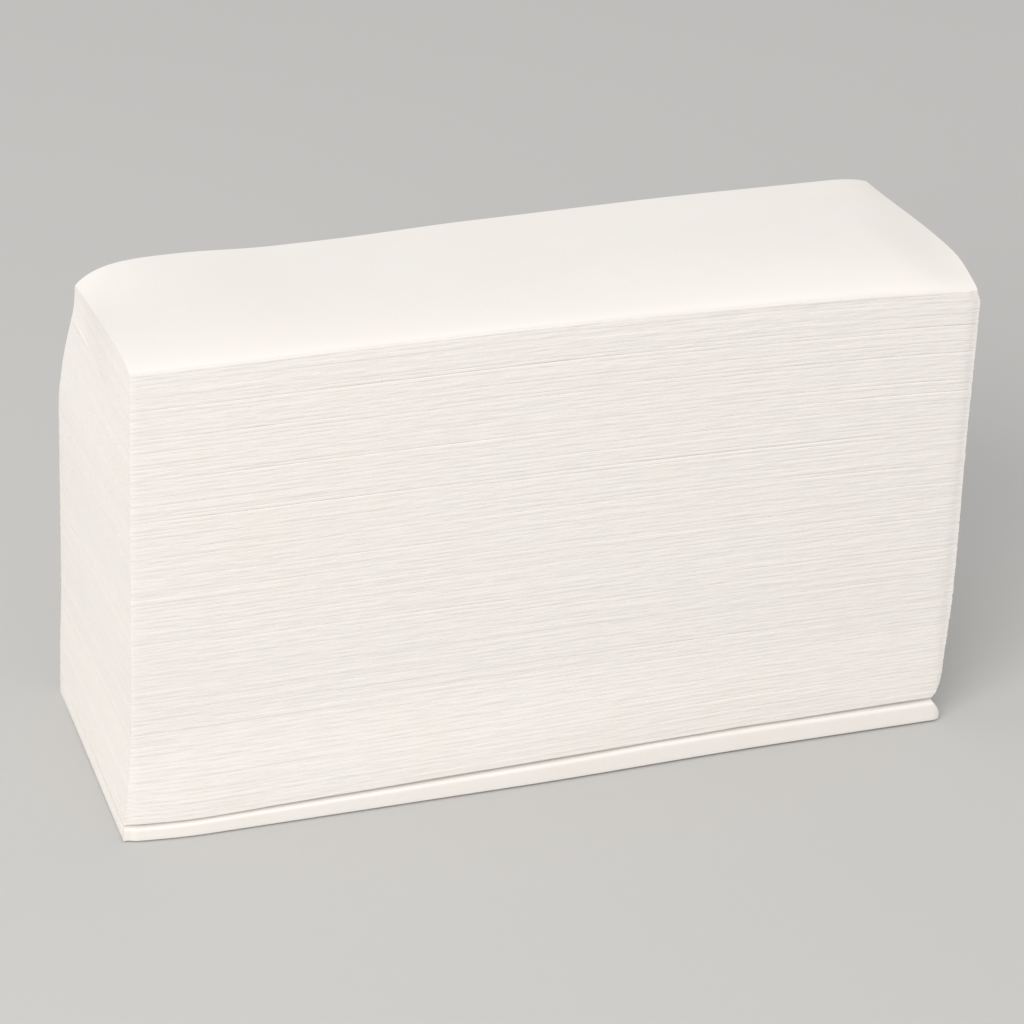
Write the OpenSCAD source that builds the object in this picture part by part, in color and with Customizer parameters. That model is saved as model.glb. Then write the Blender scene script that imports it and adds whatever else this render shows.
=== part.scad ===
// A stack of Z-folded paper towels. The origin is the middle of its underside.
// X runs along the folds, Y from the front row of folds to the back, and Z up.

/* [Towels] */
// Width of a towel, along its folds
towel_w = 230; // [120:1:320]
// Depth of one folded panel, from fold to fold
panel_d = 77; // [60:1:110]
// Thickness of one sheet
paper_t = 0.3; // [0.2:0.01:0.36]
// Air left between two sheets
air_gap = 0.09; // [0.06:0.005:0.2]
// How far a loose edge stops short of the fold that holds it
edge_inset = 1.5; // [1.2:0.1:6]

/* [Stack] */
// Towels in the stack
towel_count = 114; // [24:2:118]
// Most that a towel lies forward or back of its place
fold_jog = 0.25; // [0:0.05:0.4]
// Most that a towel lies left or right of its place
end_jog = 0.3; // [0:0.05:1]

/* [Crown] */
// Towels at the top whose panels bow up
crowned_count = 10; // [2:1:12]
// Height of the bow in the topmost panel
crown_h = 3; // [0:0.1:5]
// How far the crest of the bow lies in front of the middle
crest_forward = 14; // [0:1:20]

/* [Bottom towel] */
// Towels that the bottom one is turned up round at the front
wrapped_count = 4; // [2:1:12]
// Air between the turned-up wall and the folds behind it
wall_gap = 0.3; // [0.25:0.05:2]
// Radius of the wall's rounded corners, to the middle of the sheet
corner_r = 1.2; // [0.8:0.1:1.6]
// How far the tucked-in panel stops short of the back folds
tuck_short = 4; // [2:0.5:20]

/* [Hidden] */
// One sheet and the air above it
pitch = paper_t + air_gap;
front_y = -panel_d / 2;
back_y = panel_d / 2;
// Straight pieces in a fold, in a corner and across a bowed panel
fold_steps = 4;
corner_steps = 4;
bow_steps = 6;
// Layers of the stack, counted down from the top panel, which is layer 0
layer_count = 3 * towel_count;
last_above = towel_count - 1 - wrapped_count;
tuck_layer = 3 * last_above - 1;
crown_layers = 3 * crowned_count - 1;
paper_colour = [0.93, 0.91, 0.88];
bottom_colour = [0.95, 0.93, 0.90];

function three_digits(n) = str(n < 10 ? "00" : n < 100 ? "0" : "", n);
function pair_name(n) = str("towels_", three_digits(n), "_", three_digits(n + 1));

// Where the panels lie. Each towel's upper fold, at the front, holds the loose edge of the towel
// above it, and its lower fold, at the back, holds the loose edge of the towel below it. The
// layers under the bottom towel's tucked-in panel move down by one to make room for it.
function make_room(layer) = layer < tuck_layer ? layer : layer + 1;
function upper_layer(n) = n == 1 ? 0 : make_room(3 * n - 4);
function middle_layer(n) = make_room(3 * n - 2);
function lower_layer(n) = n == towel_count - 1 ? layer_count - 3 : make_room(3 * n);
function layer_z(layer) = paper_t / 2 + (layer_count - 1 - layer) * pitch;

// A small shift that differs from towel to towel, from -1 to 1
function unevenness(n, turn) = 0.65 * sin(turn * n) + 0.35 * sin(turn * n / 3.7);
function jog_y(n) = n > last_above ? 0 : fold_jog * unevenness(n, 137);
function jog_x(n) = end_jog * unevenness(n, 101);

// Arc of a sheet's middle line, as points
function arc(centre, r, from, to, steps) =
    [for (i = [0:steps]) let (a = from + (to - from) * i / steps) centre + r * [cos(a), sin(a)]];

// A fold that joins two layers, with its outermost face at y
function front_fold(y, z_top, z_low) =
    let (r = (z_top - z_low) / 2)
    arc([y + paper_t / 2 + r, z_low + r], r, 90, 270, fold_steps);
function back_fold(y, z_top, z_low) =
    let (r = (z_top - z_low) / 2)
    arc([y - paper_t / 2 - r, z_low + r], r, 90, -90, fold_steps);

// Points across a bowed panel. Flat panels need none.
bow_points = [for (i = [1:bow_steps - 1]) front_y + panel_d * i / bow_steps];
function across(n, z) = n > crowned_count ? [] : [for (y = bow_points) [y, z]];
function backwards(list) = [for (i = [len(list) - 1:-1:0]) list[i]];

// How much the bow lifts a point: most at the crest, none at the folds and below the crown
function bow(y) =
    let (reach = y < -crest_forward ? panel_d / 2 - crest_forward : panel_d / 2 + crest_forward)
    cos(90 * min(1, abs(y + crest_forward) / reach));
function fade(z) = max(0, 1 - (layer_z(0) - z) / pitch / crown_layers);
function lift(path) = [for (p = path) [p.x, p.y + crown_h * fade(p.y) * bow(p.x)]];

// Middle line of one Z-folded towel: upper panel, front fold, middle panel, back fold, lower panel
function towel_path(n) =
    let (
        z_up = layer_z(upper_layer(n)),
        z_mid = layer_z(middle_layer(n)),
        z_low = layer_z(lower_layer(n)),
        jog = jog_y(n)
    )
    lift(concat(
        [[back_y - edge_inset + jog, z_up]],
        backwards(across(n, z_up)),
        front_fold(front_y + jog, z_up, z_mid),
        across(n, z_mid),
        back_fold(back_y + jog, z_mid, z_low),
        backwards(across(n, z_low)),
        [[front_y + edge_inset + jog, z_low]]
    ));

// Middle line of the bottom towel as far as its back fold: the tucked-in panel, the wall that is
// turned up round the lowest towels, and the panel that the stack stands on
wall_y = front_y - fold_jog - wall_gap - corner_r * (1 - cos(45)) - paper_t / 2;
tuck_z = layer_z(tuck_layer);
base_z = layer_z(layer_count - 1);
wrap_path = concat(
    [[back_y - tuck_short, tuck_z]],
    arc([wall_y + corner_r, tuck_z - corner_r], corner_r, 90, 180, corner_steps),
    arc([wall_y + corner_r, base_z + corner_r], corner_r, 180, 270, corner_steps),
    backwards(back_fold(back_y, layer_z(layer_count - 2), base_z))
);

// The bottom towel is the same sheet as the others, so its last panel is what is left of it
function path_length(path) =
    let (parts = [for (i = [1:len(path) - 1]) norm(path[i] - path[i - 1])])
    parts * [for (part = parts) 1];
sheet_l = path_length(towel_path(crowned_count + 1));
loose_l = sheet_l - path_length(wrap_path);
wrap_end = wrap_path[len(wrap_path) - 1];
bottom_path = concat(wrap_path, [wrap_end - [loose_l, 0]]);

// Outline of a sheet whose middle line is known, with half the thickness on each side
function heading(path, i) = (path[i + 1] - path[i]) / norm(path[i + 1] - path[i]);
function offset_point(path, i, side) =
    let (
        before = heading(path, max(0, i - 1)),
        after = heading(path, min(len(path) - 2, i)),
        both = before + after
    )
    path[i] + side * paper_t / 2 * [-both.y, both.x] / (1 + before * after);
function sheet_outline(path) = concat(
    [for (i = [0:len(path) - 1]) offset_point(path, i, 1)],
    [for (i = [len(path) - 1:-1:0]) offset_point(path, i, -1)]
);

// One sheet, drawn out along its folds about the middle of the stack
module sheet(path, shift) {
    translate([shift - towel_w / 2, 0, 0])
        rotate([90, 0, 90])
            linear_extrude(height = towel_w)
                polygon(sheet_outline(path));
}

module towel(n) {
    color(paper_colour)
        sheet(towel_path(n), jog_x(n));
}

module top_towel() {
    towel(1);
}

// Two loose towels, each a solid of its own
module towel_pair(n) {
    for (k = [n:min(n + 1, towel_count - 1)])
        towel(k);
}

module bottom_towel() {
    color(bottom_colour)
        sheet(bottom_path, 0);
}

top_towel();
for (n = [2:2:towel_count - 1])
    towel_pair(n);
bottom_towel();
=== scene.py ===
import math

import bmesh
import bpy
from mathutils import Matrix, Vector


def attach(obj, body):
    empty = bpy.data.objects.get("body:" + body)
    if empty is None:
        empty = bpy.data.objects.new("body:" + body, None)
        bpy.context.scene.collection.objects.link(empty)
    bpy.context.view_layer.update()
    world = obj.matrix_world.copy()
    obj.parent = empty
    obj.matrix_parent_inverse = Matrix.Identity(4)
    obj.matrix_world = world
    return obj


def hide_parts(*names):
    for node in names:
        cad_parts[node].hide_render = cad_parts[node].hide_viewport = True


# A stack of Z-folded paper towels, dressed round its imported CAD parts. Lengths are in metres.
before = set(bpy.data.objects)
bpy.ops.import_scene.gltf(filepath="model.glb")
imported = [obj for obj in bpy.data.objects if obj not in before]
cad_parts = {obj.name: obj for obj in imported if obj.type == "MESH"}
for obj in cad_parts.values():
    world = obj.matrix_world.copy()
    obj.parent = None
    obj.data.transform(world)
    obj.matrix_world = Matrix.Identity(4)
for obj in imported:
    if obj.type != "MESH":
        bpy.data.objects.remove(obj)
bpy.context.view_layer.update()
mm = 0.001
hair = 0.001 * mm               # less than this apart counts as touching
nudge = 0.0001                  # keeps a whole number from being rounded down to the one below it
scene = bpy.context.scene
print("frame loaded,", len(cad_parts), "CAD nodes")


# One output socket. Sums written with it in Python add their Math nodes to its tree.
class Wire:
    def __init__(self, bench, node, output):
        self.bench = bench
        self.node = node
        self.socket = findSocket(node.outputs, output)

    def other(self, output):
        return Wire(self.bench, self.node, output)

    def math(self, operation, *terms):
        return self.bench.add("ShaderNodeMath", {"operation": operation}, dict(enumerate(terms)))

    def __add__(self, term):
        return self.math("ADD", self, term)

    def __radd__(self, term):
        return self.math("ADD", term, self)

    def __sub__(self, term):
        return self.math("SUBTRACT", self, term)

    def __rsub__(self, term):
        return self.math("SUBTRACT", term, self)

    def __mul__(self, term):
        return self.math("MULTIPLY", self, term)

    def __rmul__(self, term):
        return self.math("MULTIPLY", term, self)

    def __truediv__(self, term):
        return self.math("DIVIDE", self, term)

    def __rtruediv__(self, term):
        return self.math("DIVIDE", term, self)

    def __pow__(self, term):
        return self.math("POWER", self, term)

    def __gt__(self, term):
        return self.math("GREATER_THAN", self, term)

    def __lt__(self, term):
        return self.math("LESS_THAN", self, term)

    def __abs__(self):
        return self.math("ABSOLUTE", self)

    def floor(self):
        return self.math("FLOOR", self)

    def sine(self):
        return self.math("SINE", self)

    def atLeast(self, least):
        return self.math("MAXIMUM", self, least)

    def atMost(self, most):
        return self.math("MINIMUM", self, most)

    # From 0 at low to 1 at high, and level outside them
    def ramp(self, low, high, smooth=True):
        kind = "SMOOTHSTEP" if smooth else "LINEAR"
        ends = {"Value": self, "From Min": low, "From Max": high}
        return self.bench.add("ShaderNodeMapRange", {"interpolation_type": kind}, ends)


# A socket by its place or by the name that it shows
def findSocket(sockets, key):
    if isinstance(key, int):
        return [s for s in sockets if s.enabled][key]
    return next(s for s in sockets if s.name == key and s.enabled)


# Adds nodes to one tree: a node's settings first, then the values or links of its sockets
class Bench:
    def __init__(self, tree):
        self.tree = tree

    def add(self, kind, settings=None, sockets=None, output=0):
        node = self.tree.nodes.new(kind)
        for name, value in (settings or {}).items():
            setattr(node, name, value)
        for key, value in (sockets or {}).items():
            socket = findSocket(node.inputs, key)
            for one in value if isinstance(value, list) else [value]:
                if isinstance(one, Wire):
                    self.tree.links.new(one.socket, socket)
                else:
                    socket.default_value = one
        return Wire(self, node, output) if node.outputs else node

    def vector(self, x, y, z):
        return self.add("ShaderNodeCombineXYZ", {}, {"X": x, "Y": y, "Z": z})

    def noise(self, vector, scale=1.0, detail=2.0):
        return self.add("ShaderNodeTexNoise", {}, {"Vector": vector, "Scale": scale, "Detail": detail})

    def attribute(self, name):
        return self.add("GeometryNodeInputNamedAttribute", {"data_type": "FLOAT"}, {"Name": name})


def newObject(name, data):
    thing = bpy.data.objects.new(name, data)
    scene.collection.objects.link(thing)
    return thing


# How the towels lie, as in the CAD parts
stack = {
    "towelWidth": 230 * mm,
    "panelDepth": 77 * mm,
    "paper": 0.37 * mm,         # soft paper fills nearly all the room that its layer has
    "air": 0.02 * mm,
    "edgeInset": 0.75 * mm,     # a loose edge stops this far short of the fold that holds it
    "towels": 114,
    "wrapped": 4,               # towels that the bottom one is turned up round
    "crowned": 10,              # towels at the top whose panels bow up
    "foldRoundness": 2.5,       # 2 is a half circle, more is squarer
    "foldReach": 0.50 * mm,     # how far in from its outermost line a fold starts to turn
    "foldSteps": 10,
    "wallGap": 0.35 * mm,       # from the front folds to the turned-up wall
    "wallCorner": 0.8 * mm,
    "wallSteps": 5,
    "cornerSteps": 6,
    "tuckShort": 4 * mm,        # the tucked-in panel stops this far short of the back folds
}
pitch = stack["paper"] + stack["air"]
halfPaper = stack["paper"] / 2
halfDepth = stack["panelDepth"] / 2
layerCount = 3 * stack["towels"]
lastAbove = stack["towels"] - 1 - stack["wrapped"]
tuckLayer = 3 * lastAbove - 1
topHeight = halfPaper + (layerCount - 1) * pitch


def makeRoom(layer):
    return layer if layer < tuckLayer else layer + 1


def layerHeight(layer):
    return topHeight - layer * pitch


# Middle layers of the three panels of a towel, from the top of the stack
def panelLayers(n):
    upper = 0 if n == 1 else makeRoom(3 * n - 4)
    lower = layerCount - 3 if n == stack["towels"] - 1 else makeRoom(3 * n)
    return upper, makeRoom(3 * n - 2), lower


# A sheet's line is a list of points (y, z, pushY, pushZ). The push leads from the middle of the paper to
# one of its faces, in half thicknesses.


# A fold from its upper layer to its lower one. side is -1 at the front, 1 at the back.
def foldLine(side, zTop, zLow):
    rise = (zTop - zLow) / 2
    reach = stack["foldReach"]
    inner = halfDepth - halfPaper - reach
    power = 2 / stack["foldRoundness"]
    points = []
    for i in range(stack["foldSteps"] + 1):
        angle = math.pi * i / stack["foldSteps"]
        out = abs(math.sin(angle)) ** power if 0 < i < stack["foldSteps"] else 0.0
        up = math.copysign(abs(math.cos(angle)) ** power, math.cos(angle))
        points.append((side * (inner + reach * out), zLow + rise + rise * up, side * out, up))
    return points


def turnedOver(line):
    return [(y, z, -pushY, -pushZ) for y, z, pushY, pushZ in line]


# Points on a panel from one place to another, without its ends. They lie closer together at the front,
# where a crowned panel bends most.
def panelPoints(yFrom, yTo, z, push, count):
    crowding = 1.35
    low, high = sorted((yFrom, yTo))
    spots = [low + (high - low) * (i / count) ** crowding for i in range(1, count)]
    return [(y, z, 0.0, push) for y in (spots if yFrom < yTo else spots[::-1])]


# One towel: upper panel, front fold, middle panel, back fold, lower panel
def towelLine(n, topSteps, steps):
    up, mid, low = (layerHeight(layer) for layer in panelLayers(n))
    front = foldLine(-1, up, mid)
    back = turnedOver(foldLine(1, mid, low))
    start = (halfDepth - stack["edgeInset"], up, 0.0, 1.0)
    end = (-halfDepth + stack["edgeInset"], low, 0.0, 1.0)
    line = [start] + panelPoints(start[0], front[0][0], up, 1.0, topSteps) + front
    line += panelPoints(front[-1][0], back[0][0], mid, -1.0, steps) + back
    return line + panelPoints(back[-1][0], end[0], low, 1.0, steps) + [end]


# A quarter turn about a corner's centre
def cornerPoints(y, z, radius, angleFrom):
    steps = stack["cornerSteps"]
    turns = [math.radians(angleFrom + 90 * i / steps) for i in range(steps + 1)]
    return [(y + radius * math.cos(a), z + radius * math.sin(a), math.cos(a), math.sin(a)) for a in turns]


def lineLength(line):
    return sum(math.dist(a[:2], b[:2]) for a, b in zip(line, line[1:]))


wallY = -halfDepth - stack["wallGap"] - halfPaper
tuckHeight = layerHeight(tuckLayer)
baseHeight = layerHeight(layerCount - 1)


# The bottom towel: tucked-in panel, turned-up wall, bottom panel, back fold, loose panel
def bottomLine(steps):
    corner, wallSteps = stack["wallCorner"], stack["wallSteps"]
    wallTop = tuckHeight - corner
    wallFoot = baseHeight + corner
    back = foldLine(1, layerHeight(layerCount - 2), baseHeight)[::-1]
    line = [(halfDepth - stack["tuckShort"], tuckHeight, 0.0, 1.0)]
    line += panelPoints(line[0][0], wallY + corner, tuckHeight, 1.0, steps)
    line += cornerPoints(wallY + corner, wallTop, corner, 90)
    wall = wallFoot - wallTop
    line += [(wallY, wallTop + wall * i / wallSteps, -1.0, 0.0) for i in range(1, wallSteps)]
    line += cornerPoints(wallY + corner, wallFoot, corner, 180)
    line += panelPoints(wallY + corner, back[0][0], baseHeight, -1.0, steps) + back
    left = lineLength(towelLine(stack["crowned"] + 1, 4, 4)) - lineLength(line)
    y, z = line[-1][:2]
    return line + panelPoints(y, y - left, z, 1.0, steps) + [(y - left, z, 0.0, 1.0)]


# The two faces of a sheet
def sheetFaces(line):
    return [[(y + way * halfPaper * pushY, z + way * halfPaper * pushZ) for y, z, pushY, pushZ in line]
            for way in (1, -1)]


# Where neighbouring folds stand visibly apart: heights at the middle of the front, in mm
looser = {
    "most": (93.4, 109.8, 125.8),
    "more": (105.6, 118.0),
    "slightly": (12.8, 16.2, 31.2, 36, 47.4, 53.6, 57, 66.4, 69.2, 72.6, 77, 82.8, 88.6, 98.4,
                 101.6, 122),
    "amounts": {"most": 0.72, "more": 0.5, "slightly": 0.26},
    "lean": 1.025,              # how much higher than in the CAD parts the front stands
    "elsewhere": 0.06,          # most that other towels stand apart
    "grooves": 0.19,            # most that their grooves are open
    "beside": 0.42,             # share of an opening that the grooves beside it take up
}


# From 0 to 1, different from towel to towel
def unevenness(turn):
    return 0.5 + 0.5 * math.sin(turn)


# How much the towels n and n + 1 stand apart, from 0 to 1
def looseness(n):
    between = layerHeight(3 * n - 1.5) * looser["lean"]
    for name, amount in looser["amounts"].items():
        if any(abs(between - height * mm) < 1.5 * pitch for height in looser[name]):
            return amount
    return looser["elsewhere"] * unevenness(2.4 * n)


# How deep the groove between them is. The topmost one is the rounded edge of the stack.
def grooveOpenness(n):
    if n in (0, lastAbove):
        return 1.0
    beside = max(looseness(n - 1), looseness(n + 1)) * looser["beside"]
    return max(1.2 * looseness(n), beside, looser["grooves"] * unevenness(1.9 * n * n))


def looseRows():
    mesh = bpy.data.meshes.new("loose rows")
    mesh.from_pydata([(0, 0, n) for n in range(stack["towels"])], [], [])
    loose = [looseness(n) for n in range(stack["towels"])]
    mesh.attributes.new("loose", "FLOAT", "POINT").data.foreach_set("value", loose)
    return newObject("loose rows", mesh)


# The front fold turns its upper face outwards, and the back fold its lower one. A loose edge is no fold.
def isFoldOutside(n, y, z, isUpperFace):
    up, mid, low = (layerHeight(layer) for layer in panelLayers(n))
    if y < 0:
        return isUpperFace and z > mid - halfPaper - hair
    return not isUpperFace and z < mid + halfPaper + hair


# The groove above or below a point on the outside of a fold, counted from the top, and how open it is.
# Grooves at the back have other numbers, so that they come and go elsewhere.
def grooveAt(n, y, z):
    backGrooves = 200
    up, mid, low = (layerHeight(layer) for layer in panelLayers(n))
    middle = (up + mid) / 2 if y < 0 else (mid + low) / 2
    number = n - 1 if z > middle else n
    return (number if y < 0 else number + backGrooves), grooveOpenness(number)


# A flat mesh with the cross-sections of some towels. Each point knows its towel, whether the turned-up
# band holds it and, on the outside of a fold, the groove that it lies in.
def crossSections(name, lines):
    points, faces = [], []
    marks = {"towel": [], "held": [], "skin": [], "groove": [], "open": []}
    edge = halfDepth - halfPaper - stack["foldReach"] - hair
    for n, line in lines:
        upper, lower = sheetFaces(line)
        first = len(points)
        count = len(line)
        points += [(0, y, z) for y, z in upper + lower]
        for a in range(first, first + count - 1):
            faces.append((a, a + 1, a + count + 1, a + count))
        isBottom = n == stack["towels"]
        marks["towel"] += [float(n)] * (2 * count)
        marks["held"] += [1.0 if n > lastAbove else 0.0] * (2 * count)
        for face in (upper, lower):
            for y, z in face:
                outside = abs(y) >= edge and not isBottom and isFoldOutside(n, y, z, face is upper)
                groove, openness = grooveAt(n, y, z) if outside else (0, 0.0)
                marks["skin"].append(1.0 if outside else 0.0)
                marks["groove"].append(float(groove))
                marks["open"].append(openness)
    mesh = bpy.data.meshes.new(name)
    mesh.from_pydata(points, [], faces)
    for key, values in marks.items():
        mesh.attributes.new(key, "FLOAT", "POINT").data.foreach_set("value", values)
    return newObject(name, mesh)


# What the geometry tree is given, to draw the sections out into sheets and settle them
settle = {
    "Width": stack["towelWidth"],
    "Depth": stack["panelDepth"],
    "Top": topHeight,
    "Pitch": pitch,
    "Towels": stack["towels"],
    "Opening": 0.055 * mm,      # how far the loosest folds stand apart
    "Slit row": lastAbove,
    "Slit": 0.95 * mm,          # the gap over the turned-up band
    "Groove depth": 0.72,       # at 1 an open groove's folds stay as round as they were made
    "Front height": 1.0215,     # the front of the stack stands a little higher than the back
    "Back height": 0.9765,
    "Droop": 0.034,             # how much lower the right end of the front lies
    "Crown": 2.4 * mm,
    "Right crown": 2.0 * mm,    # what the crown has gained at the right end
    "Crown layers": 3.0 * stack["crowned"] - 1,
    "Corner": 2.0 * mm,         # this close to its end a fold is rounded off, by the corner depth
    "Corner depth": 0.5 * mm,
    "Sway": 0.6 * mm,           # how far a fold wanders forward and back
    "End jog": 0.06 * mm,       # most that a towel lies left or right of its place
    "Swell right": 1.6 * mm,    # how far the right end swells over the band
    "Draw in left": 0.7 * mm,   # how far the left end draws in over the band
    "Flare": 1.9 * mm,          # how far the foot of the left end stands out
    "Back corner droop": 8.6 * mm,
    "Back corner pull": 6.8 * mm,
    "Right curl": 1.1 * mm,     # how far the top's front corner is rounded off at the right
    "Notch": 2.5 * mm,          # the lowest folds above the band stop short at the right
    "Bulge": 2.8 * mm,          # the foot of the front swells forward, most left of the middle
    "Press": 2.4 * mm,          # the lowest folds are pressed together at the front left
    "Ripple": 0.5 * mm,         # how uneven the height of a layer is
    "Seed": 7,
}


def treeWithInputs(name, inputs):
    tree = bpy.data.node_groups.new(name, "GeometryNodeTree")
    for label, kind in inputs:
        tree.interface.new_socket(label, in_out="INPUT", socket_type=kind)
    tree.interface.new_socket("Geometry", in_out="OUTPUT", socket_type="NodeSocketGeometry")
    bench = Bench(tree)
    given = bench.add("NodeGroupInput")
    return tree, bench, {label: given.other(label) for label, kind in inputs}


def inputKinds():
    kinds = [("Sections", "NodeSocketGeometry"), ("Stations", "NodeSocketInt")]
    for label, value in settle.items():
        kinds.append((label, "NodeSocketInt" if isinstance(value, int) else "NodeSocketFloat"))
    return kinds + [("Loose rows", "NodeSocketObject"), ("Material", "NodeSocketMaterial")]


# The sections drawn out along X, with the sections themselves as both ends
def sweep(bench, given):
    spot = bench.add("GeometryNodeInputPosition")
    apart = bench.add("ShaderNodeSeparateXYZ", {}, {"Vector": spot})
    flat = bench.vector(-1 * apart.other("Y"), -1 * apart.other("Z"), 0.0)
    turned = bench.add("GeometryNodeSetPosition", {}, {"Geometry": given["Sections"], "Position": flat})
    beside = bench.add("GeometryNodeInputMeshEdgeNeighbors")
    rim = bench.add("GeometryNodeMeshToCurve", {}, {"Mesh": turned, "Selection": beside < 1.5})
    far = bench.vector(given["Width"], 0.0, 0.0)
    line = bench.add("GeometryNodeCurvePrimitiveLine", {}, {"End": far})
    path = bench.add("GeometryNodeResampleCurve", {}, {"Curve": line, "Count": given["Stations"]})
    sides = bench.add("GeometryNodeCurveToMesh", {}, {"Curve": path, "Profile Curve": rim})
    farEnd = bench.add("GeometryNodeTransform", {}, {"Geometry": given["Sections"], "Translation": far})
    joined = bench.add("GeometryNodeJoinGeometry", {}, {"Geometry": [given["Sections"], farEnd, sides]})
    return bench.add("GeometryNodeMergeByDistance", {}, {"Geometry": joined, "Distance": hair})


# A grid with a point for each towel and each place along the stack, which holds how far the folds
# above that towel's underside have opened, at the front and at the back
def openingGrid(bench, given, columns):
    sizes = {"Size X": 1.0, "Size Y": 1.0, "Vertices X": columns, "Vertices Y": given["Towels"]}
    grid = bench.add("GeometryNodeMeshGrid", {}, sizes)
    index = bench.add("GeometryNodeInputIndex")
    column = (index / given["Towels"] + nudge).floor()
    row = index - column * given["Towels"]
    rows = bench.add("GeometryNodeObjectInfo", {}, {"Object": given["Loose rows"]}, "Geometry")
    loose = bench.attribute("loose")
    freedom = bench.add("GeometryNodeSampleIndex", {}, {"Geometry": rows, "Value": loose, "Index": row})
    isSlit = row.math("COMPARE", row, given["Slit row"], 0.5)
    held = row > given["Slit row"] + 0.5
    for side, name in enumerate(("openedFront", "openedBack")):
        where = bench.vector(column * 0.31, row * 1.73 + given["Seed"], 11.0 * side)
        patch = bench.noise(where, 1.0, 1.0)
        rightward = 0.45 + 0.6 * column.ramp(0.0, columns * 0.7, False)
        free = freedom * patch.ramp(0.34, 0.70) * rightward
        gap = free * given["Opening"] * (1 - held) * (1 - isSlit)
        if side == 0:
            gap = gap + isSlit * given["Slit"] * (0.5 + patch)
        total = bench.add("GeometryNodeAccumulateField", {}, {"Value": gap, "Group ID": column})
        keep = {"Geometry": grid, "Name": name, "Value": total}
        kind = {"data_type": "FLOAT", "domain": "POINT"}
        grid = bench.add("GeometryNodeStoreNamedAttribute", kind, keep)
    return grid


# What the grid holds for a towel at a place along the stack, drawn straight from column to column
def readGrid(bench, grid, name, row, place, columns, rows):
    left = place.floor().atMost(columns - 2)
    held = bench.attribute(name)
    ends = []
    for column in (left, left + 1):
        pick = {"Geometry": grid, "Value": held, "Index": column * rows + row}
        ends.append(bench.add("GeometryNodeSampleIndex", {}, pick))
    return ends[0] + (ends[1] - ends[0]) * (place - left)


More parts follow.
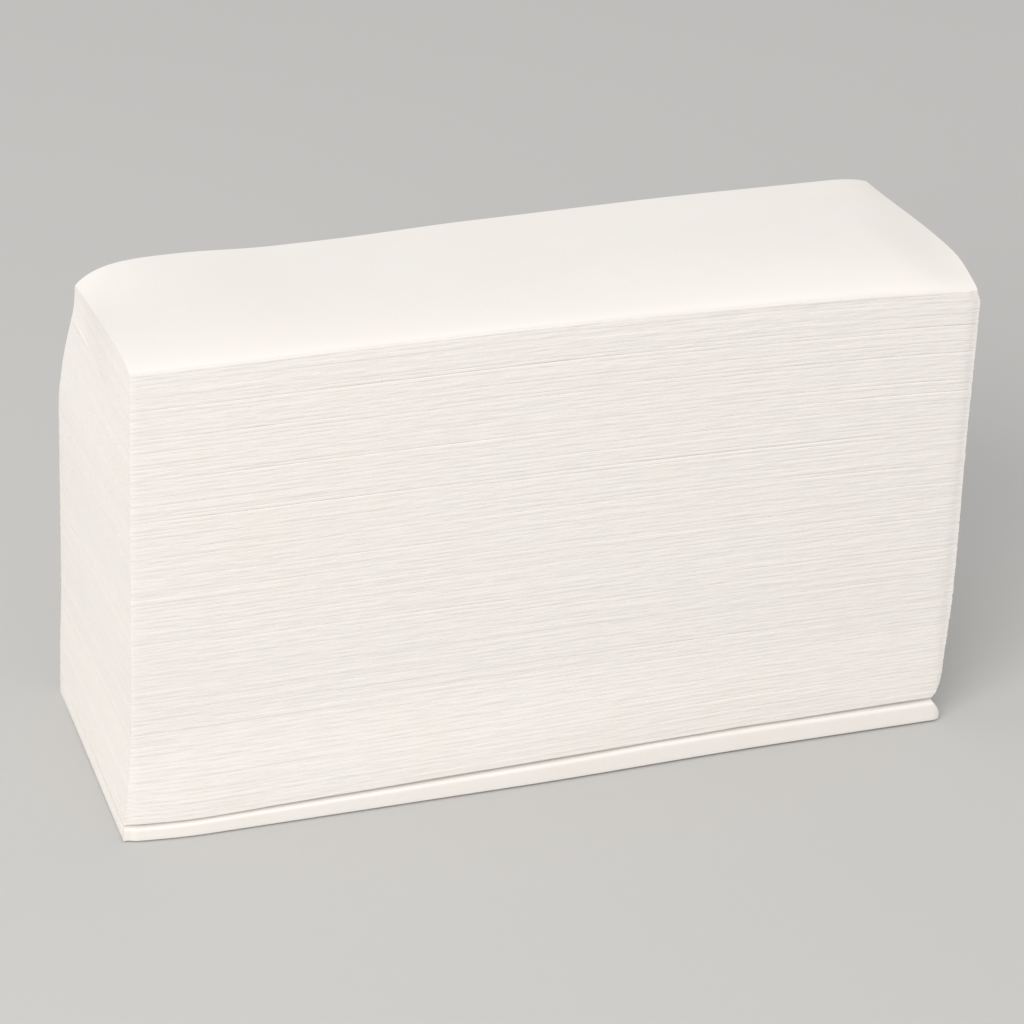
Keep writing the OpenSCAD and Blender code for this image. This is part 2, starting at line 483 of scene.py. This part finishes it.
# The sheets drawn out and settled. Places along the stack are counted from its middle, depths from its
# middle towards the back, and heights from its foot.
def settledSheets():
    tree, bench, given = treeWithInputs("settled sheets", inputKinds())
    columns = 30                # places along the stack at which the folds' openings are worked out
    bunching = 0.85             # at 0 the stations are evenly spread, at 1 they meet at the ends
    squareness = 0.94           # how square a fold in a shut groove is
    creaseAngle = 0.75          # in radians. Sharper edges stay crisp.
    sheets = sweep(bench, given)
    grid = openingGrid(bench, given, columns)
    spot = bench.add("ShaderNodeSeparateXYZ", {}, {"Vector": bench.add("GeometryNodeInputPosition")})
    x, y, z = spot.other("X"), spot.other("Y"), spot.other("Z")
    towel = bench.attribute("towel")
    held = bench.attribute("held")
    width, depth, top = given["Width"], given["Depth"], given["Top"]
    layer = (top - z) / given["Pitch"]

    # Stations lie closer together towards the ends. Each towel's ends stand a little left or right.
    across = x / width
    eased = across - bunching / (2 * math.pi) * (across * (2 * math.pi)).sine()
    dice = {"Min": -1.0, "Max": 1.0, "ID": towel, "Seed": given["Seed"]}
    jog = bench.add("FunctionNodeRandomValue", {}, dice)
    xOut = width * (eased - 0.5) + jog * given["End jog"]
    aboveBand = layer < tuckLayer - 0.5
    shortAbove = z.ramp(16 * mm, 6.5 * mm, False) ** 3
    shortBelow = z.ramp(2 * mm, 6.4 * mm, False) ** 1.6
    nick = aboveBand * shortAbove + (1 - aboveBand) * shortBelow
    swelling = aboveBand * z.ramp(6 * mm, 40 * mm)
    lowSwell = swelling * (1 - 0.35 * z.ramp(45 * mm, 95 * mm))
    xOut = xOut + given["Swell right"] * xOut.ramp(60 * mm, 115 * mm) * lowSwell
    xOut = xOut + given["Draw in left"] * xOut.ramp(-60 * mm, -115 * mm) * swelling
    xOut = xOut - given["Notch"] * nick * xOut.ramp(85 * mm, 115 * mm) ** 2
    leftEnd = xOut.ramp(-80 * mm, -115 * mm) ** 2
    frontShare = (0.5 - y / depth).ramp(0.0, 1.0, False)
    xOut = xOut - given["Flare"] * leftEnd * frontShare * z.ramp(26 * mm, 0.0)

    # Fold corners are rounded where the stack was cut, and no fold runs quite straight
    toEnd = abs(xOut).ramp(width / 2 - given["Corner"], width / 2, False)
    rounding = given["Corner depth"] * toEnd * toEnd
    near = abs(y).ramp(depth / 2 - 4 * mm, depth / 2, False)
    side = y.math("SIGN", y)    # -1 at the front, 1 at the back

    # Grooves between folds come and go along the stack. Where one is shut, both its folds are square.
    groove = bench.attribute("groove") * 2.37
    patchy = bench.noise(bench.vector(xOut * 16.0, groove, given["Seed"]), 1.0, 4.0)
    depthHere = given["Groove depth"] * (0.4 + 0.6 * xOut.ramp(-115 * mm, 60 * mm, False))
    shut = 1 - bench.attribute("open") * patchy.ramp(0.34, 0.66) * depthHere
    shut = shut.atLeast(toEnd.ramp(0.0, 1.0))
    y = y + bench.attribute("skin") * (side * (depth / 2) - y) * shut * squareness
    drift = bench.noise(bench.vector(xOut * 16.0, towel * 5.37, y * 13.0 + given["Seed"]), 1.0, 1.5)
    yOut = y - side * rounding * near + (drift - 0.5) * given["Sway"] * (1 - held)
    swell = xOut.ramp(-130 * mm, -95 * mm) * (1 - 0.55 * xOut.ramp(-8 * mm, 68 * mm))
    yOut = yOut - given["Bulge"] * swell * yOut.ramp(-14 * mm, -38 * mm) * z.ramp(34 * mm, 5 * mm)

    # Some folds have opened. What they take is taken from the thickness of all the layers.
    frontRow = ((layer + 1.5) / 3 + nudge).floor()
    backRow = ((layer - 0.5) / 3 + nudge).floor().atLeast(0.0)
    place = (xOut / width + 0.5).ramp(0.0, 1.0, False) * (columns - 1)
    rows = given["Towels"]

    def openedAbove(frontRow, backRow):
        front = readGrid(bench, grid, "openedFront", frontRow, place, columns, rows)
        back = readGrid(bench, grid, "openedBack", backRow, place, columns, rows)
        return front * frontShare + back * (1 - frontShare)

    gone = openedAbove(frontRow, backRow)
    total = openedAbove(rows - 1, rows - 1)
    zOut = z * (1 - total / top) + total - gone
    pressed = zOut.ramp(0.0, 6.5 * mm, False) * zOut.ramp(45 * mm, 7 * mm) * frontShare
    zOut = zOut - given["Press"] * pressed * (1 - 1.05 * xOut.ramp(-112 * mm, 30 * mm, False))

    # The stack leans back and droops towards the right, more so higher up
    high = zOut.ramp(4 * mm, 42 * mm)
    backHeight = given["Back height"] + 0.006 * xOut.ramp(-30 * mm, 70 * mm)
    backHeight = backHeight - 0.007 * xOut.ramp(-82 * mm, -56 * mm) * xOut.ramp(0.0, -45 * mm)
    lean = backHeight + (given["Front height"] - backHeight) * frontShare
    right = (xOut / (190 * mm) + 0.395).atLeast(0.0) ** 3
    droop = given["Droop"] * right * (0.1 + 0.9 * frontShare)
    wave = bench.noise(bench.vector(xOut * 17.0, yOut * 17.0, zOut * 30.0 + given["Seed"]), 1.0, 1.0)
    zOut = zOut * (lean - droop * high) + (wave - 0.5) * given["Ripple"] * zOut.ramp(10 * mm, 40 * mm)

    # The topmost towels bow up, most behind the front folds
    bowed = (yOut / depth + 0.492).ramp(0.0, 1.0, False) ** 0.6
    bow = (bowed * math.pi).sine() * (1.12 - 0.4 * frontShare.ramp(1.0, 0.0, False))
    fade = (1 - layer / given["Crown layers"]).atLeast(0.0)
    crown = given["Crown"] + given["Right crown"] * xOut.ramp(0.0, 100 * mm)
    crown = crown * (1 - 0.38 * xOut.ramp(96 * mm, 116 * mm))
    zOut = zOut + crown * bow * fade

    # The top corners at the back are soft and hang down, the left one most
    upper = layer.ramp(90.0, 0.0) ** 1.8
    backness = yOut.ramp(-24 * mm, 42 * mm)
    leftCorner = xOut.ramp(-84 * mm, -118 * mm, False) ** 3.0
    rightCorner = xOut.ramp(103 * mm, 118 * mm, False) ** 2.2 * 0.2
    zOut = zOut - given["Back corner droop"] * upper * backness * (leftCorner + rightCorner)
    pulled = layer.ramp(110.0, 0.0)
    xOut = xOut + given["Back corner pull"] * pulled * backness * (leftCorner - rightCorner)
    curled = layer.ramp(12.0, 0.0) ** 2.0 * yOut.ramp(-20 * mm, -37 * mm)
    xOut = xOut - given["Right curl"] * curled * xOut.ramp(100 * mm, 115 * mm)

    moved = {"Geometry": sheets, "Position": bench.vector(xOut, yOut, zOut)}
    shaped = bench.add("GeometryNodeSetPosition", {}, moved)
    smooth = bench.add("GeometryNodeSetShadeSmooth", {}, {"Geometry": shaped})
    bent = bench.add("GeometryNodeInputMeshEdgeAngle")
    creased = {"Geometry": smooth, "Selection": bent > creaseAngle, "Shade Smooth": False}
    crisp = bench.add("GeometryNodeSetShadeSmooth", {"domain": "EDGE"}, creased)
    real = bench.add("GeometryNodeRealizeInstances", {}, {"Geometry": crisp})
    painted = bench.add("GeometryNodeSetMaterial", {}, {"Geometry": real, "Material": given["Material"]})
    bench.add("NodeGroupOutput", {}, {"Geometry": painted})
    return tree


paperLook = {
    "colour": (0.908, 0.879, 0.842, 1.0),
    "warmColour": (0.905, 0.864, 0.820, 1.0),
    "greyColour": (0.880, 0.851, 0.818, 1.0),
    "towelTone": 0.45,          # how far a towel's own tone may go towards the grey
    "roughness": 0.92,
    "crepe": 1500.0,            # crepe ridges to the metre, nearly
    "crepeDepth": 0.05 * mm,
    "furrows": 950.0,           # short furrows along the outside of the folds
    "furrowDepth": 0.06 * mm,
    "furrowPaintedShade": 0.03,         # painted shade: how much darker a furrow's colour is made
}


def makePaper(name, look):
    material = bpy.data.materials.new(name)
    material.use_nodes = True
    tree = material.node_tree
    tree.nodes.clear()
    bench = Bench(tree)
    spot = bench.add("ShaderNodeTexCoord", {}, {}, "Object")
    apart = bench.add("ShaderNodeSeparateXYZ", {}, {"Vector": spot})
    x, y, z = apart.other("X"), apart.other("Y"), apart.other("Z")

    # The crepe runs across the folds, and fibres lie every way
    ridges = bench.noise(bench.vector(x, y * 0.22, z * 0.22), look["crepe"], 2.0)
    fibres = bench.noise(spot, look["crepe"] * 2.2, 3.0)
    clouds = bench.noise(spot, 95.0, 3.0)
    blotches = bench.noise(bench.vector(x, y, z * 1.4), 21.0, 2.0)
    towel = bench.add("ShaderNodeAttribute", {"attribute_name": "towel"}, {}, "Fac")
    own = bench.add("ShaderNodeTexWhiteNoise", {"noise_dimensions": "1D"}, {"W": towel}, "Value")
    warm = clouds.ramp(0.35, 0.68) * 0.5 + blotches.ramp(0.38, 0.66) * 0.5
    grey = own * look["towelTone"] + (ridges.ramp(0.3, 0.7) * 0.5 + fibres.ramp(0.3, 0.7) * 0.5) * 0.3
    tint = {"Factor": warm, "A": look["colour"], "B": look["warmColour"]}
    mixed = bench.add("ShaderNodeMix", {"data_type": "RGBA"}, tint, "Result")
    tint = {"Factor": grey, "A": mixed, "B": look["greyColour"]}
    colour = bench.add("ShaderNodeMix", {"data_type": "RGBA"}, tint, "Result")

    # Short furrows run along the outside of the folds, where the skin mark is 1. They are bumped, and
    # their colour is darkened with painted shade.
    skin = bench.add("ShaderNodeAttribute", {"attribute_name": "skin"}, {}, "Fac")
    level = bench.noise(bench.vector(x * 0.13, y * 0.3, z), look["furrows"], 2.0).ramp(0.34, 0.62)
    shade = {"Vector": colour, "Scale": 1 - look["furrowPaintedShade"] * (1 - level) * skin}
    shaded = bench.add("ShaderNodeVectorMath", {"operation": "SCALE"}, shade)
    relief = (ridges * 0.7 + fibres * 0.3) * look["crepeDepth"] + level * skin * look["furrowDepth"]
    normal = bench.add("ShaderNodeBump", {}, {"Strength": 1.0, "Distance": 1.0, "Height": relief})
    roughness = look["roughness"] + (fibres - 0.5) * 0.12
    face = {"Base Color": shaded, "Roughness": roughness, "Normal": normal, "Specular IOR Level": 0.25}
    shader = bench.add("ShaderNodeBsdfPrincipled", {}, face)
    bench.add("ShaderNodeOutputMaterial", {}, {"Surface": shader})
    return material


paper = makePaper("creped towel paper", paperLook)
print("paper mixed")


def setInputs(modifier, values):
    for item in modifier.node_group.interface.items_tree:
        if item.in_out == "INPUT" and item.name in values:
            modifier[item.identifier] = values[item.name]


# Runs the tree on some sections and keeps the result as a plain mesh in the same object
def dressPiece(name, lines, stations, node):
    piece = crossSections(name, lines)
    modifier = piece.modifiers.new("settle", "NODES")
    modifier.node_group = settling
    setInputs(modifier, {**settle, "Stations": stations, "Loose rows": rowMarks, "Material": paper})
    bpy.context.view_layer.update()
    settled = piece.evaluated_get(bpy.context.evaluated_depsgraph_get())
    mesh = bpy.data.meshes.new_from_object(settled)
    mesh.name = name
    piece.modifiers.remove(modifier)
    piece.data = mesh
    work = bmesh.new()
    work.from_mesh(mesh)
    bmesh.ops.recalc_face_normals(work, faces=work.faces)
    work.to_mesh(mesh)
    work.free()
    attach(piece, "root")
    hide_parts(node)
    return piece


# How finely the sheets are divided: stations along the folds, and steps across a panel
fineness = {
    "stations": 42,
    "outerStations": 130,       # for the top and the bottom towel
    "topSteps": 48,
    "crownSteps": 13,
    "flatSteps": 3,
    "bottomSteps": 9,
}
settling = settledSheets()
rowMarks = looseRows()
topLine = towelLine(1, fineness["topSteps"], fineness["crownSteps"])
dressed = [dressPiece("folded_top_towel", [(1, topLine)], fineness["outerStations"], "top_towel")]
print("top towel laid")

for n in range(2, stack["towels"], 2):
    steps = fineness["crownSteps" if n <= stack["crowned"] else "flatSteps"]
    pair = [(k, towelLine(k, steps, steps)) for k in (n, n + 1)]
    label = f"towels_{n:03d}_{n + 1:03d}"
    dressed.append(dressPiece("folded_" + label, pair, fineness["stations"], label))
print(len(dressed) - 1, "pairs of towels laid")

wrapped = [(stack["towels"], bottomLine(fineness["bottomSteps"]))]
dressed.append(dressPiece("folded_bottom_towel", wrapped, fineness["outerStations"], "bottom_towel"))
bpy.data.objects.remove(rowMarks)
print("bottom towel laid,", sum(len(piece.data.polygons) for piece in dressed), "faces in all")


studio = {
    "floorColour": (0.57, 0.567, 0.56, 1.0),
    "backdrop": (0.66, 0.656, 0.648, 1.0),      # what the camera sees past the floor
    "skyLight": 0.725,
    "skyColour": (1.0, 0.995, 0.985, 1.0),
    "lampPower": 20.1,          # in watts
    "lampSize": 1.2,
    "lampPlace": (-1.08, -1.06, 1.17),
    "lampAim": (0.0, 0.0, 0.06),
    "lampColour": (1.0, 0.98, 0.955),
}


def makeFloor():
    mesh = bpy.data.meshes.new("floor")
    far = 14.0
    low = -0.05 * mm            # just under the stack
    corners = [(-far, -far, low), (far, -far, low), (far, far, low), (-far, far, low)]
    mesh.from_pydata(corners, [], [(0, 1, 2, 3)])
    material = bpy.data.materials.new("plain floor")
    material.use_nodes = True
    skin = material.node_tree.nodes["Principled BSDF"]
    skin.inputs["Base Color"].default_value = studio["floorColour"]
    skin.inputs["Roughness"].default_value = 0.85
    mesh.materials.append(material)
    newObject("floor", mesh)


def lightWorld():
    world = bpy.data.worlds.new("studio")
    scene.world = world
    world.use_nodes = True
    tree = world.node_tree
    tree.nodes.clear()
    bench = Bench(tree)
    rays = bench.add("ShaderNodeLightPath")
    seen = rays.math("MAXIMUM", rays.other("Is Camera Ray"), rays.other("Is Glossy Ray"))
    glow = {"Color": studio["skyColour"], "Strength": studio["skyLight"]}
    light = bench.add("ShaderNodeBackground", {}, glow)
    shown = bench.add("ShaderNodeBackground", {}, {"Color": studio["backdrop"], "Strength": 1.0})
    sky = bench.add("ShaderNodeMixShader", {}, {0: seen, 1: light, 2: shown})
    bench.add("ShaderNodeOutputWorld", {}, {"Surface": sky})


def softLamp():
    lamp = bpy.data.lights.new("soft lamp", "AREA")
    lamp.size = studio["lampSize"]
    lamp.energy = studio["lampPower"]
    lamp.color = studio["lampColour"]
    place = Vector(studio["lampPlace"])
    facing = (Vector(studio["lampAim"]) - place).to_track_quat("-Z", "Y")
    newObject("soft lamp", lamp).matrix_world = Matrix.Translation(place) @ facing.to_matrix().to_4x4()


makeFloor()
lightWorld()
softLamp()

view = {
    "azimuth": -19.98,
    "elevation": 28.99,
    "roll": 2.5,
    "place": (-349.3 * mm, -964.5 * mm, 629.3 * mm),
    "lens": 152.72,
}


# The camera looks down on the stack from its front left, a little tilted
def placeCamera():
    turn, rise, roll = (math.radians(view[key]) for key in ("azimuth", "elevation", "roll"))
    back = Vector((math.sin(turn) * math.cos(rise), -math.cos(turn) * math.cos(rise), math.sin(rise)))
    right = Vector((0, 0, 1)).cross(back).normalized()
    up = back.cross(right)
    across = math.cos(roll) * right + math.sin(roll) * up
    rolled = Matrix((across, back.cross(across), back))
    camera = bpy.data.cameras.new("camera")
    camera.lens = view["lens"]
    camera.clip_end = 60        # past the far edge of the floor
    scene.camera = newObject("camera", camera)
    scene.camera.matrix_world = Matrix.Translation(view["place"]) @ rolled.transposed().to_4x4()


placeCamera()
scene.view_settings.view_transform = "Standard"
print("floor, light and camera set")
